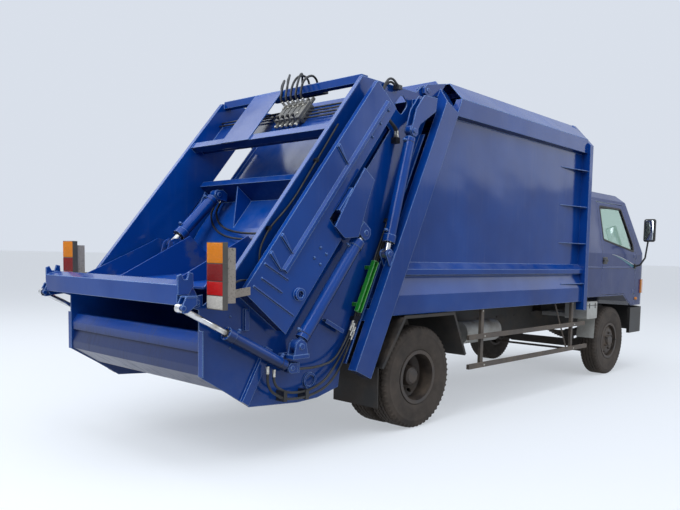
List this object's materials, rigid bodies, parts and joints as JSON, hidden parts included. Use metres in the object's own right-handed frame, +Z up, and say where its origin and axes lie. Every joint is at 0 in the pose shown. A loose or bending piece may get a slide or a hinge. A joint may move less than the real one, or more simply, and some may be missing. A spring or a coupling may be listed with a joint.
{
  "type": "garbage truck",
  "caption": "Rear-loading refuse truck: cab-over chassis, closed steel container and a hinged compacting tailgate with sweep blade, sliding carrier and bin lift.",
  "frame": {"origin": "on the ground, under the middle of the truck's length and width", "axes": "+X forwards along the truck, +Y to its left, +Z up"},
  "size_m": [7.083, 2.476, 2.925],
  "materials": {
    "body_blue": "gloss",
    "cab_blue": "gloss",
    "chassis_grey": "matte",
    "axle_iron": "matte",
    "guard_grey": "matte",
    "rim_grey": "matte",
    "tyre_rubber": "matte",
    "fender_black": "matte",
    "box_grey": "satin",
    "tank_grey": "satin",
    "window_glass": "gloss",
    "cabin_plastic": "matte",
    "seat_vinyl": "matte",
    "lamp_lens": "gloss",
    "headlamp_lens": "gloss",
    "mirror_black": "satin",
    "rod_chrome": "satin",
    "prop_green": "gloss",
    "valve_iron": "satin",
    "hose_rubber": "satin"
  },
  "bodies": {
    "chassis": {"chassis_frame": "chassis_grey", "front_axle": "axle_iron", "rear_axle": "axle_iron", "driveline": "axle_iron", "fuel_tank": "tank_grey", "battery_box": "box_grey", "side_guards": "guard_grey", "rear_fenders": "fender_black", "front_bumper": "chassis_grey", "container_floor": "body_blue", "container_sides": "body_blue", "container_roof": "body_blue", "container_front": "body_blue", "rear_frame": "body_blue"},
    "steer_left": {"knuckle_left": "axle_iron"},
    "steer_right": {"knuckle_right": "axle_iron"},
    "track_rod": {"tie_rod": "axle_iron"},
    "wheel_front_left": {"tyre_front_left": "tyre_rubber", "rim_front_left": "rim_grey"},
    "wheel_front_right": {"tyre_front_right": "tyre_rubber", "rim_front_right": "rim_grey"},
    "wheels_rear_left": {"tyres_rear_left": "tyre_rubber", "rims_rear_left": "rim_grey"},
    "wheels_rear_right": {"tyres_rear_right": "tyre_rubber", "rims_rear_right": "rim_grey"},
    "cab": {"cab_shell": "cab_blue", "cab_front": "cab_blue", "cab_roof": "cab_blue", "cab_glass": "window_glass", "cabin_trim": "cabin_plastic", "seat_pads": "seat_vinyl", "front_lamps": "headlamp_lens", "grille": "cabin_plastic"},
    "door_l": {"door_left": "cab_blue", "door_glass_left": "window_glass", "mirror_left": "mirror_black"},
    "door_r": {"door_right": "cab_blue", "door_glass_right": "window_glass", "mirror_right": "mirror_black"},
    "ejector": {"ejector_panel": "body_blue"},
    "tailgate": {"gate_frame": "body_blue", "hopper_trough": "body_blue", "tail_lamps": "lamp_lens", "lamp_boxes": "guard_grey", "slide_barrels": "body_blue", "safety_props": "prop_green", "valve_block": "valve_iron", "hydraulic_lines": "hose_rubber"},
    "carriage": {"carrier": "body_blue", "slide_rods": "rod_chrome", "supply_hose_upper": "hose_rubber", "supply_hose_lower": "hose_rubber"},
    "sweep_blade": {"blade": "body_blue"},
    "blade_cylinders": {"blade_barrels": "body_blue"},
    "blade_pistons": {"blade_rods": "rod_chrome"},
    "bin_lift": {"lift_beam": "body_blue"},
    "lift_cylinders": {"lift_barrels": "body_blue"},
    "lift_pistons": {"lift_rods": "rod_chrome"},
    "raise_cylinders": {"raise_barrels": "body_blue"},
    "raise_pistons": {"raise_rods": "rod_chrome"}
  },
  "joints": [
    {"name": "steering_left", "type": "hinge", "parent": "chassis", "child": "steer_left", "pos_m": [2.4915, 0.66, 0.42], "axis": [0, 0, 1], "range_deg": [-32, 32]},
    {"name": "steering_right", "type": "hinge", "parent": "chassis", "child": "steer_right", "pos_m": [2.4915, -0.66, 0.42], "axis": [0, 0, 1], "range_deg": [-32, 32]},
    {"name": "track_rod_slide", "type": "slide", "parent": "chassis", "child": "track_rod", "axis": [0, -1, 0], "range_m": [-0.0901, 0.0901]},
    {"name": "wheel_front_left_spin", "type": "hinge", "parent": "steer_left", "child": "wheel_front_left", "pos_m": [2.4915, 0, 0.42], "axis": [0, 1, 0], "continuous": true},
    {"name": "wheel_front_right_spin", "type": "hinge", "parent": "steer_right", "child": "wheel_front_right", "pos_m": [2.4915, 0, 0.42], "axis": [0, 1, 0], "continuous": true},
    {"name": "wheels_rear_left_spin", "type": "hinge", "parent": "chassis", "child": "wheels_rear_left", "pos_m": [-1.3585, 0, 0.42], "axis": [0, 1, 0], "continuous": true},
    {"name": "wheels_rear_right_spin", "type": "hinge", "parent": "chassis", "child": "wheels_rear_right", "pos_m": [-1.3585, 0, 0.42], "axis": [0, 1, 0], "continuous": true},
    {"name": "cab_tilt", "type": "hinge", "parent": "chassis", "child": "cab", "pos_m": [3.4765, 0, 0.7], "axis": [0, 1, 0], "range_deg": [0, 45]},
    {"name": "door_left_swing", "type": "hinge", "parent": "cab", "child": "door_l", "pos_m": [3.0745, 0.988, 1.5], "axis": [0, 0, -1], "range_deg": [0, 70]},
    {"name": "door_right_swing", "type": "hinge", "parent": "cab", "child": "door_r", "pos_m": [3.0745, -0.988, 1.5], "axis": [0, 0, 1], "range_deg": [0, 70]},
    {"name": "ejector_slide", "type": "slide", "parent": "chassis", "child": "ejector", "axis": [-1, 0, 0], "range_m": [0, 2.2]},
    {"name": "tailgate_lift", "type": "hinge", "parent": "chassis", "child": "tailgate", "pos_m": [-1.2085, 0, 2.765], "axis": [0, 1, 0], "range_deg": [0, 80]},
    {"name": "carrier_slide", "type": "slide", "parent": "tailgate", "child": "carriage", "axis": [0.6157, 0, 0.788], "range_m": [0, 0.5]},
    {"name": "blade_sweep", "type": "hinge", "parent": "carriage", "child": "sweep_blade", "pos_m": [-2.4085, 0, 1.3], "axis": [0, -1, 0], "range_deg": [0, 80]},
    {"name": "blade_cylinder_pivot", "type": "hinge", "parent": "carriage", "child": "blade_cylinders", "pos_m": [-2.2125, 0, 1.895], "axis": [0, -1, 0], "range_deg": [0, 18.46]},
    {"name": "blade_piston_slide", "type": "slide", "parent": "blade_cylinders", "child": "blade_pistons", "axis": [-0.7047, 0, -0.7096], "range_m": [0, 0.2793]},
    {"name": "bin_lift_swing", "type": "hinge", "parent": "tailgate", "child": "bin_lift", "pos_m": [-3.3785, 0, 1.1], "axis": [0, -1, 0], "range_deg": [0, 90]},
    {"name": "lift_cylinder_pivot", "type": "hinge", "parent": "tailgate", "child": "lift_cylinders", "pos_m": [-2.6885, 0, 0.635], "axis": [0, -1, 0], "range_deg": [0, 1.63]},
    {"name": "lift_piston_slide", "type": "slide", "parent": "lift_cylinders", "child": "lift_pistons", "axis": [-0.883, 0, 0.4693], "range_m": [-0.1944, 0]},
    {"name": "raise_cylinder_pivot", "type": "hinge", "parent": "tailgate", "child": "raise_cylinders", "pos_m": [-1.5015, 0, 2.388], "axis": [0, -1, 0], "range_deg": [0, 90.41]},
    {"name": "raise_piston_slide", "type": "slide", "parent": "raise_cylinders", "child": "raise_pistons", "axis": [-0.2662, 0, -0.9639], "range_m": [0, 0.57]}
  ],
  "couplings": [
    {"joint": "steering_right", "follows": "steering_left", "ratio": 1},
    {"joint": "track_rod_slide", "follows": "steering_left", "m_per_rad": 0.1613},
    {"joint": "blade_cylinder_pivot", "follows": "blade_sweep", "ratio": 0.23074},
    {"joint": "blade_piston_slide", "follows": "blade_sweep", "m_per_rad": 0.20006},
    {"joint": "lift_cylinder_pivot", "follows": "bin_lift_swing", "ratio": 0.01813},
    {"joint": "lift_piston_slide", "follows": "bin_lift_swing", "m_per_rad": -0.12374},
    {"joint": "raise_cylinder_pivot", "follows": "tailgate_lift", "ratio": 1.1301},
    {"joint": "raise_piston_slide", "follows": "tailgate_lift", "m_per_rad": 0.4082}
  ]
}
